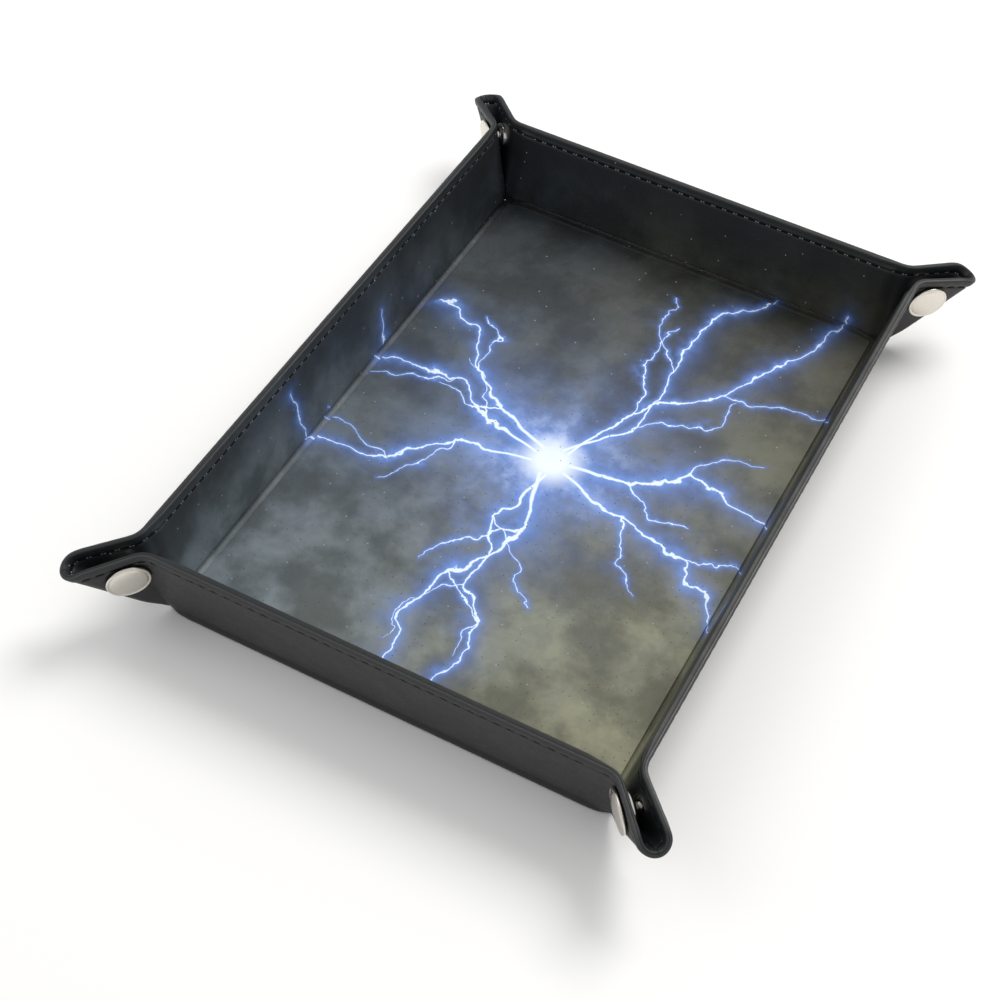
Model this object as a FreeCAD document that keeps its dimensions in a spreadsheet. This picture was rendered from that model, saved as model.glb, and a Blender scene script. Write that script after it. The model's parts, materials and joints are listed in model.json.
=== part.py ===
"""Folding dice tray: a flat laminate sheet whose walls stand up when its four corner ears are snapped.

Millimetres, +Z up, +Y along the long side, origin at the centre of the underside.
Every piece of the sheet is drawn where it lies when the tray is opened flat, and its Placement
then turns it up about the fold lines to the standing tray.  The fold lines and creases run in the
bond between the outer cover and the lining, so all of them meet in one point at each floor corner.
"""
import FreeCAD
import Part
import Sketcher
import os
from math import acos, atan2, cos, degrees, hypot, radians, sin

# Driving dimensions: name, value in millimetres or degrees.
DIMENSIONS = [
    ("floor_width", 163.0),     # between the two long fold lines
    ("floor_length", 242.0),    # between the two short fold lines
    ("wall_slope", 35.4),       # fold line to rim, along the wall
    ("wall_lean", 12.0),        # outward lean of a standing wall from the vertical
    ("corner_round", 15.6),     # rounding of the flat sheet's corners
    ("cover_thick", 1.0),
    ("board_thick", 1.2),
    ("lining_thick", 0.8),
    ("board_margin", 3.0),      # board edge to fold line, rim or crease
    ("board_end", 4.5),         # wall board's end to the floor corner
    ("crease_angle", 3.0),      # wall crease, from square to the fold line
    ("tip_angle", 6.3),         # width of one half of an ear's tip, seen from the floor corner
    ("leg_root", 8.5),          # where the ear legs start, out from the fold line
    ("tip_root", 14.0),         # where the ear tips start, out from the fold line
    ("piece_gap", 0.06),        # each piece's distance from a crease
    ("tip_gap", 0.2),           # each tip's distance from the corner diagonal
    ("fold_relief", 0.8),       # lining drawn back where a wall stands up
    ("leg_relief", 0.6),        # cover drawn back where an ear leg turns out
    ("lining_end", 1.0),        # wall lining drawn back from the wall's end
    ("tip_relief", 0.95),       # lining drawn back where an ear tip turns in
    ("snap_reach", 26.5),       # floor corner to snap centre
    ("snap_angle", 21.0),       # snap centre's direction, from square to the fold line
    ("cap_radius", 7.5),
    ("cap_height", 2.0),
    ("cap_edge", 0.9),          # height of the cap's rolled edge
    ("cap_shoulder", 0.2),      # rounding above that edge
    ("cap_shell", 0.35),        # sheet metal of the cap
    ("post_radius", 1.7),
    ("post_clearance", 0.05),
    ("base_thick", 0.5),        # flange of the socket and of the stud
    ("stud_flange", 3.8),
    ("stud_neck", 1.25),
    ("stud_cone", 0.5),         # height of the cone between flange and neck
    ("stud_ball", 1.75),
    ("stud_height", 2.15),      # lining to ball centre
    ("socket_radius", 5.0),
    ("socket_height", 2.7),
    ("socket_chamfer", 1.0),
    ("socket_mouth", 2.2),
    ("spring_wire", 0.2),       # radius of the wire
    ("spring_ring", 2.45),      # radius of the ring's centre line
    ("spring_level", 2.1),      # ring's centre line above the lining
    ("spring_groove", 0.3),     # groove beyond the wire's centre line, up, down and outward
    ("spring_sweep", 310.0),    # how far round the open ring goes
    ("cutter_margin", 2.0),     # how far the corner cutter reaches past the sheet
]

document = FreeCAD.newDocument("dice_tray")
sizes = document.addObject("Spreadsheet::Sheet", "sizes")
for row, (alias, number) in enumerate(DIMENSIONS, start=1):
    sizes.set(f"A{row}", alias)
    sizes.set(f"B{row}", str(number))
    sizes.setAlias(f"B{row}", alias)
document.recompute()
pieces = []


def size(alias):
    """A driving dimension as a number."""
    return float(sizes.get(alias))


def new_body(label):
    """An empty body that becomes one named piece of the tray."""
    body = document.addObject("PartDesign::Body", label)
    body.Label = label
    pieces.append(body)
    return body


def new_sketch(body, name, plane, height="0"):
    """A sketch on one of the body's own origin planes, raised by height."""
    sketch = body.newObject("Sketcher::SketchObject", f"{body.Name}_{name}")
    support = [feature for feature in body.Origin.OriginFeatures if feature.Role == plane][0]
    sketch.AttachmentSupport = [(support, "")]
    sketch.MapMode = "FlatFace"
    sketch.setExpression("AttachmentOffset.Base.z", height)
    return sketch


def bind(sketch, kind, *where_and_expression):
    """A dimension of the sketch that follows an expression of the sheet."""
    *where, expression = where_and_expression
    value = float(sketch.evalExpression(expression))
    index = sketch.addConstraint(Sketcher.Constraint(kind, *where, value))
    sketch.setExpression(f"Constraints[{index}]", expression)


def spot_vector(sketch, spot):
    """A pair of expressions as a point of the sketch."""
    return FreeCAD.Vector(*(float(sketch.evalExpression(text)) for text in spot), 0)


def polygon(sketch, corners):
    """Draws a closed polygon whose corners, pairs of expressions, are all bound."""
    spots = [spot_vector(sketch, corner) for corner in corners]
    count = len(spots)
    for index in range(count):
        sketch.addGeometry(Part.LineSegment(spots[index], spots[(index + 1) % count]))
    for index in range(count):
        sketch.addConstraint(Sketcher.Constraint("Coincident", index, 2, (index + 1) % count, 1))
    for index, (across, upward) in enumerate(corners):
        bind(sketch, "DistanceX", -1, 1, index, 1, across)
        bind(sketch, "DistanceY", -1, 1, index, 1, upward)


def outline(body, name, height, corners):
    """A sketch, level with the sheet at a height, of a closed outline through corners."""
    sketch = new_sketch(body, name, "XY_Plane", height)
    polygon(sketch, corners)
    return sketch


def slab(body, name, floor, thickness, low, high):
    """A layer between two outlines: low at the height floor, high a thickness above it."""
    loft = body.newObject("PartDesign::AdditiveLoft", f"{body.Name}_{name}")
    loft.Profile = outline(body, f"{name}_low", floor, low)
    loft.Sections = [outline(body, f"{name}_high", f"{floor} + {thickness}", high)]
    loft.Ruled = True
    return loft


def plate(body, name, floor, thickness, corners):
    """A flat layer of constant outline."""
    pad = body.newObject("PartDesign::Pad", f"{body.Name}_{name}")
    pad.Profile = outline(body, f"{name}_outline", floor, corners)
    pad.setExpression("Length", thickness)
    return pad


def cut_up(body, name, sketch, depth):
    """Removes the sketch's area from the sketch upward."""
    pocket = body.newObject("PartDesign::Pocket", f"{body.Name}_{name}")
    pocket.Profile = sketch
    pocket.Reversed = True
    pocket.setExpression("Length", depth)
    return pocket


def bore(body, name, radius, level, depth, across, along):
    """Removes a round hole, upward from a level."""
    sketch = new_sketch(body, f"{name}_circle", "XY_Plane", level)
    centre = spot_vector(sketch, (across, along))
    sketch.addGeometry(Part.Circle(centre, FreeCAD.Vector(0, 0, 1), size("post_radius")))
    bind(sketch, "Radius", 0, radius)
    bind(sketch, "DistanceX", -1, 1, 0, 3, across)
    bind(sketch, "DistanceY", -1, 1, 0, 3, along)
    return cut_up(body, name, sketch, depth)


def revolve(body, name, sketch, sweep):
    """A solid of revolution of the sketch about the body's own Z axis."""
    revolution = body.newObject("PartDesign::Revolution", f"{body.Name}_{name}")
    revolution.Profile = sketch
    revolution.ReferenceAxis = (sketch, ["V_Axis"])
    revolution.setExpression("Angle", sweep)


def turned(body, name, profile):
    """A full turn of a profile of (radius, level) pairs."""
    sketch = new_sketch(body, f"{name}_profile", "XZ_Plane")
    polygon(sketch, profile)
    revolve(body, name, sketch, "360")


# Heights of the layers above the underside.  BOND is the level of every fold line and crease.
BOND = "sizes.cover_thick"
LAMINATE = "(sizes.cover_thick + sizes.lining_thick)"
BOARD_TOP = "(sizes.cover_thick + sizes.board_thick)"
GAP = "sizes.piece_gap"
POST_BORE = "sizes.post_radius + sizes.post_clearance"
SNAP_BASE = f"{LAMINATE} + sizes.base_thick"
HALF_WIDTH = "(sizes.floor_width / 2)"
HALF_LENGTH = "(sizes.floor_length / 2)"
SAME_POINT = 0.01       # millimetres


class Wall:
    """One wall, with the direction that its fold line faces: (0, -1) is the front wall."""

    def __init__(self, name, outward):
        self.name = name
        self.outward = outward
        self.short = outward[0] == 0
        self.half = HALF_WIDTH if self.short else HALF_LENGTH

    def spot(self, side, past_corner, out):
        """The place past_corner beyond the wall's end and out from its fold line, as X and Y."""
        if self.short:
            return (f"{side} * ({HALF_WIDTH} + {past_corner})",
                    f"{self.outward[1]} * ({HALF_LENGTH} + {out})")
        return (f"{self.outward[0]} * ({HALF_WIDTH} + {out})",
                f"{side} * ({HALF_LENGTH} + {past_corner})")

    def ring(self, low_out, high_out, past_corner):
        """A four-cornered outline; past_corner(out) gives the end of the wall at that distance."""
        return [self.spot(side, past_corner(out), out)
                for side, out in ((-1, low_out), (1, low_out), (1, high_out), (-1, high_out))]

    def turn_axis(self):
        """The axis about which the wall is lowered, which is up crossed with outward."""
        across, along = self.outward
        return FreeCAD.Vector(-along, across, 0)

    def apex(self, side):
        """The floor corner at one end of the wall, on the fold line."""
        half_width, half_length = size("floor_width") / 2, size("floor_length") / 2
        across = side * half_width if self.short else self.outward[0] * half_width
        along = self.outward[1] * half_length if self.short else side * half_length
        return FreeCAD.Vector(across, along, size("cover_thick"))

    def ray(self, side, angle):
        """The flat sheet's direction at an angle from the wall's outward direction to its end."""
        outward = FreeCAD.Vector(*self.outward, 0)
        endward = FreeCAD.Vector(side, 0, 0) if self.short else FreeCAD.Vector(0, side, 0)
        return outward * cos(radians(angle)) + endward * sin(radians(angle))


WALLS = [Wall("front", (0, -1)), Wall("right", (1, 0)), Wall("back", (0, 1)), Wall("left", (-1, 0))]


def beside(angle, offset):
    """The line that leaves the floor corner at an angle, moved sideways by offset."""
    return lambda out: f"(({out}) * tan({angle}) + ({offset}) / cos({angle}))"


WALL_CREASE = "sizes.crease_angle"
TIP_CREASE = "(45 - sizes.tip_angle)"


def turn(place, apex, axis, angle):
    """place, after a turn by angle degrees about an axis through apex in the flat sheet."""
    spin = FreeCAD.Rotation(axis, angle)
    return place.multiply(FreeCAD.Placement(apex - spin.multVec(apex), spin))


def ear_turns():
    """Turns of an ear's leg and tip for which the two tips meet in the corner's diagonal plane.

    The corner is taken with its wall along +X, leaning out to -Y, and the diagonal towards -X -Y.
    """
    lean, crease = radians(size("wall_lean")), radians(size("crease_angle"))
    tip = radians(size("tip_angle"))
    leg = radians(45) - crease - tip
    first = FreeCAD.Vector(-sin(crease), -sin(lean) * cos(crease), cos(lean) * cos(crease))
    outward = FreeCAD.Vector(-1, -1, 0).normalize()
    across = FreeCAD.Vector(1, -1, 0).normalize()
    level, rise = first.dot(outward), first.z
    reach = (cos(leg) - first.dot(across) * sin(tip)) / cos(tip)
    slope = atan2(rise, level) - acos(reach / hypot(level, rise))
    diagonal = outward * cos(slope) + FreeCAD.Vector(0, 0, sin(slope))
    second = diagonal * cos(tip) + across * sin(tip)

    def square(direction, line):
        return (direction - line * direction.dot(line)).normalize()

    leg_turn = acos(square(FreeCAD.Vector(-1, 0, 0), first).dot(square(second, first)))
    tip_turn = acos(square(first * -1, second).dot(square(diagonal, second)))
    return degrees(leg_turn), degrees(tip_turn)


UP = FreeCAD.Vector(0, 0, 1)
WALL_TURN = 90 - size("wall_lean")
LEG_TURN, TIP_TURN = ear_turns()


def wall_place(wall):
    """Placement of a standing wall, from where it lies in the flat sheet."""
    return turn(FreeCAD.Placement(), wall.apex(1), wall.turn_axis(), -WALL_TURN)


def leg_place(wall, side):
    """Placement of the ear leg at one end of a standing wall."""
    crease = wall.ray(side, size("crease_angle"))
    onward = wall.ray(side, size("crease_angle") + 90)
    return turn(wall_place(wall), wall.apex(side), onward.cross(UP * -1), LEG_TURN)


def tip_place(wall, side):
    """Placement of the ear tip beyond that leg."""
    onward = wall.ray(side, 45 - size("tip_angle") + 90)
    return turn(leg_place(wall, side), wall.apex(side), onward.cross(UP), TIP_TURN)


def round_corner(body, wall, side):
    """Cuts the flat sheet's rounded corner off a leg or a tip."""
    sketch = new_sketch(body, "corner", "XY_Plane", "0 - sizes.cutter_margin")
    tangent = "(sizes.wall_slope - sizes.corner_round)"
    beyond = "(sizes.wall_slope + sizes.cutter_margin)"
    marks = [(tangent, "sizes.wall_slope"), (tangent, beyond), (beyond, beyond), (beyond, tangent),
             ("sizes.wall_slope", tangent)]
    spots = [wall.spot(side, *mark) for mark in marks]
    vectors = [spot_vector(sketch, spot) for spot in spots]
    for start, end in zip(vectors, vectors[1:]):
        sketch.addGeometry(Part.LineSegment(start, end))
    centre = wall.spot(side, tangent, tangent)
    middle = spot_vector(sketch, centre)
    crown = middle + (vectors[2] - middle).normalize() * size("corner_round")
    arc = sketch.addGeometry(Part.Arc(vectors[-1], crown, vectors[0]))
    starts_at_tangent = sketch.getPoint(arc, 1).isEqual(vectors[-1], SAME_POINT)
    first, last = (1, 2) if starts_at_tangent else (2, 1)
    for index in range(3):
        sketch.addConstraint(Sketcher.Constraint("Coincident", index, 2, index + 1, 1))
    sketch.addConstraint(Sketcher.Constraint("Coincident", 3, 2, arc, first))
    sketch.addConstraint(Sketcher.Constraint("Coincident", arc, last, 0, 1))
    for index, spot in enumerate(spots[:4]):
        bind(sketch, "DistanceX", -1, 1, index, 1, spot[0])
        bind(sketch, "DistanceY", -1, 1, index, 1, spot[1])
    bind(sketch, "DistanceX", -1, 1, arc, 3, centre[0])
    bind(sketch, "DistanceY", -1, 1, arc, 3, centre[1])
    outward_of_wall = 1 if wall.short else 0
    kind = ("DistanceX", "DistanceY")[outward_of_wall]
    bind(sketch, kind, -1, 1, arc, first, spots[4][outward_of_wall])
    cut_up(body, "corner_cut", sketch, f"{LAMINATE} + 2 * sizes.cutter_margin")


def board_layers(lining, board_outline, raised_outline):
    """Raises the lining over a board and hollows it for the board."""
    plate(lining, "raised", BOND, "sizes.board_thick + sizes.lining_thick", raised_outline)
    sketch = outline(lining, "board", BOND, board_outline)
    cut_up(lining, "board_pocket", sketch, "sizes.board_thick")


def rectangle(half_across, half_along):
    """A rectangle about the origin."""
    signs = ((-1, -1), (1, -1), (1, 1), (-1, 1))
    return [(f"{across} * ({half_across})", f"{along} * ({half_along})") for across, along in signs]


def make_floor():
    """The floor panel: cover below, board, lining above."""
    def inset(distance):
        return rectangle(f"{HALF_WIDTH} - ({distance})", f"{HALF_LENGTH} - ({distance})")

    cover = new_body("floor_cover")
    plate(cover, "sheet", "0", "sizes.cover_thick", inset(GAP))
    board = new_body("floor_board")
    plate(board, "sheet", BOND, "sizes.board_thick", inset("sizes.board_margin"))
    lining = new_body("floor_lining")
    slab(lining, "sheet", BOND, "sizes.lining_thick", inset(GAP), inset("sizes.fold_relief"))
    board_layers(lining, inset("sizes.board_margin"), inset("sizes.board_margin - sizes.lining_thick"))


def make_wall(wall):
    """A wall panel: cover outside, board, lining inside."""
    rim = "sizes.wall_slope"
    full = beside(WALL_CREASE, f"0 - {GAP}")
    relieved = beside(WALL_CREASE, "0 - sizes.leg_relief")
    cover = new_body(f"{wall.name}_wall_cover")
    slab(cover, "sheet", "0", "sizes.cover_thick", wall.ring(GAP, rim, relieved), wall.ring(GAP, rim, full))

    def board_ring(growth):
        low = f"sizes.board_margin - {growth}"
        high = f"{rim} - sizes.board_margin + {growth}"
        return wall.ring(low, high, lambda out: f"({growth} - sizes.board_end)")

    board = new_body(f"{wall.name}_wall_board")
    plate(board, "sheet", BOND, "sizes.board_thick", board_ring("0"))
    lining = new_body(f"{wall.name}_wall_lining")
    short = beside(WALL_CREASE, "0 - sizes.lining_end")
    slab(lining, "sheet", BOND, "sizes.lining_thick", wall.ring(GAP, rim, short),
         wall.ring("sizes.fold_relief", rim, short))
    board_layers(lining, board_ring("0"), board_ring("sizes.lining_thick"))
    for body in (cover, board, lining):
        body.Placement = wall_place(wall)


def ear_outline(wall, side, root, inner, outer):
    """A sector of the flat sheet's corner between two lines that leave the floor corner."""
    rim = "sizes.wall_slope"
    return [wall.spot(side, inner(root), root), wall.spot(side, inner(rim), rim),
            wall.spot(side, outer(rim), rim), wall.spot(side, outer(root), root)]


def snap_spot(wall, side):
    """The snap's centre in the flat sheet, as expressions."""
    return wall.spot(side, "sizes.snap_reach * sin(sizes.snap_angle)",
                     "sizes.snap_reach * cos(sizes.snap_angle)")


def make_leg(wall, side, corner):
    """An ear leg, cover and lining, pierced for the snap's post."""
    place = leg_place(wall, side)
    near = beside(WALL_CREASE, GAP)
    near_relieved = beside(WALL_CREASE, "sizes.leg_relief")
    far = beside(TIP_CREASE, f"0 - {GAP}")
    far_relieved = beside(TIP_CREASE, "0 - sizes.tip_relief")

    def sector(inner, outer):
        return ear_outline(wall, side, "sizes.leg_root", inner, outer)

    layers = [("cover", "0", "sizes.cover_thick", sector(near_relieved, far), sector(near, far)),
              ("lining", BOND, "sizes.lining_thick", sector(near, far), sector(near, far_relieved))]
    for layer, level, thickness, low, high in layers:
        body = new_body(f"{corner}_leg_{layer}")
        slab(body, "sheet", level, thickness, low, high)
        round_corner(body, wall, side)
        bore(body, "post_hole", POST_BORE, level, thickness, *snap_spot(wall, side))
        body.Placement = place


def make_tip(wall, side, corner):
    """One half of an ear's tip, cover and lining bonded in one piece."""
    body = new_body(f"{corner}_tip")
    near = beside(TIP_CREASE, GAP)
    near_relieved = beside(TIP_CREASE, "sizes.tip_relief")
    diagonal = beside("45", "0 - sizes.tip_gap")

    def sector(inner):
        return ear_outline(wall, side, "sizes.tip_root", inner, diagonal)

    slab(body, "cover", "0", "sizes.cover_thick", sector(near), sector(near))
    slab(body, "lining", BOND, "sizes.lining_thick", sector(near), sector(near_relieved))
    round_corner(body, wall, side)
    body.Placement = tip_place(wall, side)


def snap_place(wall, side):
    """Placement of snap hardware, whose own origin is on the outer face of the ear leg."""
    shift = FreeCAD.Placement(spot_vector(sizes, snap_spot(wall, side)), FreeCAD.Rotation())
    return leg_place(wall, side).multiply(shift)


# The cap's dome: shares of its radius, and of its height at that radius.
CAP_DOME = [(0, 1), (0.45, 0.94), (0.75, 0.8)]


def make_cap(label, place):
    """A domed cap with a rolled edge, and the post that goes through the ear leg."""
    body = new_body(label)
    dome = [(f"sizes.cap_radius * {part}", f"0 - sizes.cap_height * {rise}") for part, rise in CAP_DOME]
    edge = [("sizes.cap_radius - sizes.cap_shell", "0 - sizes.cap_edge - sizes.cap_shoulder"),
            ("sizes.cap_radius", "0 - sizes.cap_edge"),
            ("sizes.cap_radius", "0 - sizes.cap_shell"),
            ("sizes.cap_radius - sizes.cap_shell", "0")]
    post = [("sizes.post_radius", "0"), ("sizes.post_radius", SNAP_BASE), ("0", SNAP_BASE)]
    turned(body, "dome", [*dome, *edge, *post])
    body.Placement = place


def make_socket(label, place):
    """The female half: a flanged ring with a groove for its spring."""
    body = new_body(label)
    groove = "sizes.spring_ring + sizes.spring_groove"
    low = f"{LAMINATE} + sizes.spring_level - sizes.spring_groove"
    high = f"{LAMINATE} + sizes.spring_level + sizes.spring_groove"
    top = f"{LAMINATE} + sizes.socket_height"
    profile = [(POST_BORE, LAMINATE),
               ("sizes.socket_radius", LAMINATE),
               ("sizes.socket_radius", f"{top} - sizes.socket_chamfer"),
               ("sizes.socket_radius - sizes.socket_chamfer", top),
               ("sizes.socket_mouth", top),
               ("sizes.socket_mouth", high),
               (groove, high),
               (groove, low),
               ("sizes.socket_mouth", low),
               ("sizes.socket_mouth", SNAP_BASE),
               (POST_BORE, SNAP_BASE)]
    turned(body, "ring", profile)
    body.Placement = place


def make_spring(label, place):
    """The open wire ring that grips the stud."""
    body = new_body(label)
    sketch = new_sketch(body, "wire", "XZ_Plane")
    level = f"{LAMINATE} + sizes.spring_level"
    centre = spot_vector(sketch, ("sizes.spring_ring", level))
    sketch.addGeometry(Part.Circle(centre, FreeCAD.Vector(0, 0, 1), size("spring_wire")))
    bind(sketch, "Radius", 0, "sizes.spring_wire")
    bind(sketch, "DistanceX", -1, 1, 0, 3, "sizes.spring_ring")
    bind(sketch, "DistanceY", -1, 1, 0, 3, level)
    revolve(body, "ring", sketch, "sizes.spring_sweep")
    body.Placement = place


BALL_ANGLES = range(55, 156, 20)    # points of the stud's ball, in degrees up from its foot


def make_stud(label, place):
    """The male half: a flange, a neck and a round head."""
    body = new_body(label)
    centre = f"{LAMINATE} + sizes.stud_height"
    flange = [(POST_BORE, LAMINATE),
              ("sizes.stud_flange", LAMINATE),
              ("sizes.stud_flange", SNAP_BASE),
              ("sizes.stud_neck", f"{SNAP_BASE} + sizes.stud_cone")]
    ball = [(f"sizes.stud_ball * sin({angle})", f"{centre} - sizes.stud_ball * cos({angle})")
            for angle in BALL_ANGLES]
    core = [("0", f"{centre} + sizes.stud_ball"), ("0", SNAP_BASE), (POST_BORE, SNAP_BASE)]
    turned(body, "stud", [*flange, *ball, *core])
    body.Placement = place


def make_corner(walls, name, sides):
    """One corner: two ear legs, two tips, and the snap that holds the legs together."""
    for role, wall, side in (("short", walls[0], sides[0]), ("long", walls[1], sides[1])):
        corner = f"{name}_{role}"
        make_leg(wall, side, corner)
        make_tip(wall, side, corner)
        make_cap(f"{corner}_cap", snap_place(wall, side))
    make_socket(f"{name}_socket", snap_place(walls[0], sides[0]))
    make_spring(f"{name}_socket_spring", snap_place(walls[0], sides[0]))
    make_stud(f"{name}_stud", snap_place(walls[1], sides[1]))


def check():
    """Stops if any feature failed or any piece is not one valid solid."""
    for item in document.Objects:
        if "Invalid" in item.State or "Error" in item.State:
            raise RuntimeError(f"{item.Label}: {item.State}")
    for piece in pieces:
        if piece.Shape.isNull() or not piece.Shape.isValid() or len(piece.Shape.Solids) != 1:
            raise RuntimeError(f"{piece.Label} is not one valid solid")


front, right, back, left = WALLS
make_floor()
for standing in WALLS:
    make_wall(standing)
make_corner((front, left), "front_left", (-1, -1))
make_corner((front, right), "front_right", (1, -1))
make_corner((back, left), "back_left", (-1, 1))
make_corner((back, right), "back_right", (1, 1))
document.recompute()
check()
os.makedirs("parts", exist_ok=True)
for piece in pieces:
    piece.Shape.exportStep(f"parts/{piece.Label}.step")
print(len(pieces), "pieces; ear leg turns", round(LEG_TURN, 3), "and tip", round(TIP_TURN, 3))
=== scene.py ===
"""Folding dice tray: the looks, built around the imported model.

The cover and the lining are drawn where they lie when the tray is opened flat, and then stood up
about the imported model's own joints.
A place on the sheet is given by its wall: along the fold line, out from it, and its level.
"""
import json
import math

import bmesh
import bpy
import numpy as np
from mathutils import Matrix, Vector

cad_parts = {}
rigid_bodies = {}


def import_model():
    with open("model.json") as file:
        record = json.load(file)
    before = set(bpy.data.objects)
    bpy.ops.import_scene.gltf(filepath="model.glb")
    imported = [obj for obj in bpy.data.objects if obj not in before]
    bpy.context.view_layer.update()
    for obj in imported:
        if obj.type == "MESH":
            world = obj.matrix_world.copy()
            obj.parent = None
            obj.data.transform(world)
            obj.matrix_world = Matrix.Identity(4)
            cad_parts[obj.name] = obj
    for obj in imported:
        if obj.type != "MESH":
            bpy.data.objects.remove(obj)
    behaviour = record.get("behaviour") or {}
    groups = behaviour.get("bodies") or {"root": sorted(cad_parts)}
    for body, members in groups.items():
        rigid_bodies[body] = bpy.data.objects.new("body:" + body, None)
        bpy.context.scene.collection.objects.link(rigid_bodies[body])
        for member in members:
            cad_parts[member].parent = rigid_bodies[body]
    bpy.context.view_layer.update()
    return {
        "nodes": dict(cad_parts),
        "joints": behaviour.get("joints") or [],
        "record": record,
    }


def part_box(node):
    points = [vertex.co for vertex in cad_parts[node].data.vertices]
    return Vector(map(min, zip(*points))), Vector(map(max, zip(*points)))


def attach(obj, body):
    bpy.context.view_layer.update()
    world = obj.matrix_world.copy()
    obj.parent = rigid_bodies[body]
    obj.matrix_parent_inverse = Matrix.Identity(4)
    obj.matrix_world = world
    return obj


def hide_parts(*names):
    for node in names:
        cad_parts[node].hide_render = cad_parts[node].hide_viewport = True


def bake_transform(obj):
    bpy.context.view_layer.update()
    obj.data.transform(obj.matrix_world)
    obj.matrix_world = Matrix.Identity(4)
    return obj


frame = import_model()

MM = 0.001
JOINTS = {joint["name"]: joint for joint in frame["joints"]}
RATIOS = {row["joint"]: row["ratio"] for row in frame["record"]["behaviour"]["couplings"]}
DRIVER = "left_wall_fold"
WALL_NAMES = ("front", "right", "back", "left")

HALF_WIDTH = abs(JOINTS["left_wall_fold"]["pos_m"][0])
HALF_LENGTH = abs(JOINTS["front_wall_fold"]["pos_m"][1])
BOND = JOINTS[DRIVER]["pos_m"][2]
LAMINATE = 1.8 * MM
BOARD = 1.2 * MM
FOLD_ZONE = 3.0 * MM        # floor edge of the wall's own piece, from the fold line
FOLD_START = 1.2 * MM       # where the sheet starts to bend, on the floor's side of the fold line
FOLD_END = 4.2 * MM         # where it has stopped, on the wall's side
LEG_ZONE = math.radians(7.5)    # half the angle over which a wall bends into an ear leg
TIP_EARLY = math.radians(6.3)   # the tip's piece starts this far before the tip's crease
TIP_ONSET = math.radians(4.0)   # over this angle the round end of the ear starts to bend
TIP_SHARE = 0.72                # the ear's end lies this share of the way along the span given for a tip
EAR_END = math.radians(43.6)    # a little short of the diagonal, for the blend to lie flat
EAR_GAP = 0.0035                # how far the ear's end stays off the diagonal, per unit of distance
NEWTON_ROUNDS = 6
FOLD_EASE = 8.0 * MM        # within this of a wall's end its fold narrows towards the floor corner
FOLD_SHARPEST = 0.02        # the least width of a fold, as a share of its full width
CORNER_THIN = 5.0 * MM      # within this of the floor corner the layers thin to nothing
EAR_THIN = 7.0 * MM         # added to it in the ears
CORNER_ROUND = 15.6 * MM
BOARD_MARGIN = 3.0 * MM
BOARD_END = 4.5 * MM
BOARD_RAMP = 1.3 * MM           # over this width the lining climbs onto a board
BOND_GAP = 0.02 * MM            # keeps the two layers apart
EDGE_ROUND = 0.5 * MM           # rounding of the sheet's outer faces at its edge
INNER_ROUND = 0.1 * MM
STITCH_INSET = 3.5 * MM
STITCH_PITCH = 4.6 * MM
STITCH_LENGTH = 3.4 * MM
THREAD_RADIUS = 0.34 * MM
SEAM_DEPTH = 0.40 * MM          # how deep the stitches pull into the sheet
SEAM_WIDTH = 0.52 * MM
BAND_HEIGHT = 0.26 * MM         # the padded band outside the stitches
BAND_INSET = 1.7 * MM
BAND_WIDTH = 1.9 * MM
RIDGE_HEIGHT = 0.34 * MM        # the ridge along a fold, and the pressed line on each side of it
RIDGE_WIDTH = 1.0 * MM
CREASE_DEPTH = 0.44 * MM
CREASE_WIDTH = 0.5 * MM
CREASE_OFFSET = 2.1 * MM
RIM_PAD = 0.75 * MM             # padding along a wall's rim, above its board
RIM_PAD_INSET = 7.0 * MM        # it starts here, from the rim
RIM_PAD_RAMP = 3.0 * MM
END_FADE = 10.0 * MM            # folds and rim padding fade out over this, at a wall's end
BLEND_REACH = 30.0 * MM         # from the floor corner to where the ear's bends are measured


# ---------------------------------------------------------------- how the sheet stands up

def smooth(value):
    """0 below 0, 1 above 1, and a smooth step between."""
    clipped = np.clip(value, 0, 1)
    return clipped * clipped * (3 - 2 * clipped)


def opening(name):
    """How far a joint turns, in radians, when the tray opens flat."""
    return math.radians(JOINTS[DRIVER]["range_deg"][1]) * RATIOS.get(name, 1.0)


def spin(points, pivot, axis, angles):
    """points turned about an axis through pivot, each by its own angle."""
    arms = points - pivot
    angles = np.broadcast_to(angles, points.shape[:-1])[..., None]
    along = (arms @ axis)[..., None] * axis
    turned = arms * np.cos(angles) + np.cross(axis, arms) * np.sin(angles)
    return pivot + turned + along * (1 - np.cos(angles))


class Corner:
    """One end of a wall: its floor corner and the creases of its ear leg and tip."""

    def __init__(self, wall, side):
        here = [joint for joint in frame["joints"] if joint["parent"] == f"{wall.name}_wall"]
        here.sort(key=lambda joint: np.dot(joint["pos_m"], wall.endward))
        leg = here[-1] if side > 0 else here[0]
        tip = [joint for joint in frame["joints"] if joint["parent"] == leg["child"]][0]
        self.apex = np.array(leg["pos_m"], float)
        self.leg_body, self.tip_body = leg["child"], tip["child"]
        self.leg_turn, self.tip_turn = opening(leg["name"]), opening(tip["name"])
        leg_axis, tip_axis = np.array(leg["axis"], float), np.array(tip["axis"], float)
        tip_axis = spin(tip_axis, np.zeros(3), leg_axis, self.leg_turn)
        self.leg_axis = spin(leg_axis, np.zeros(3), wall.axis, wall.turn)
        self.leg_angle = wall.angle_of(self.leg_axis, side)
        self.tip_angle = wall.angle_of(spin(tip_axis, np.zeros(3), wall.axis, wall.turn), side)
        self.name = self.leg_body.rsplit("_", 1)[0]


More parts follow.
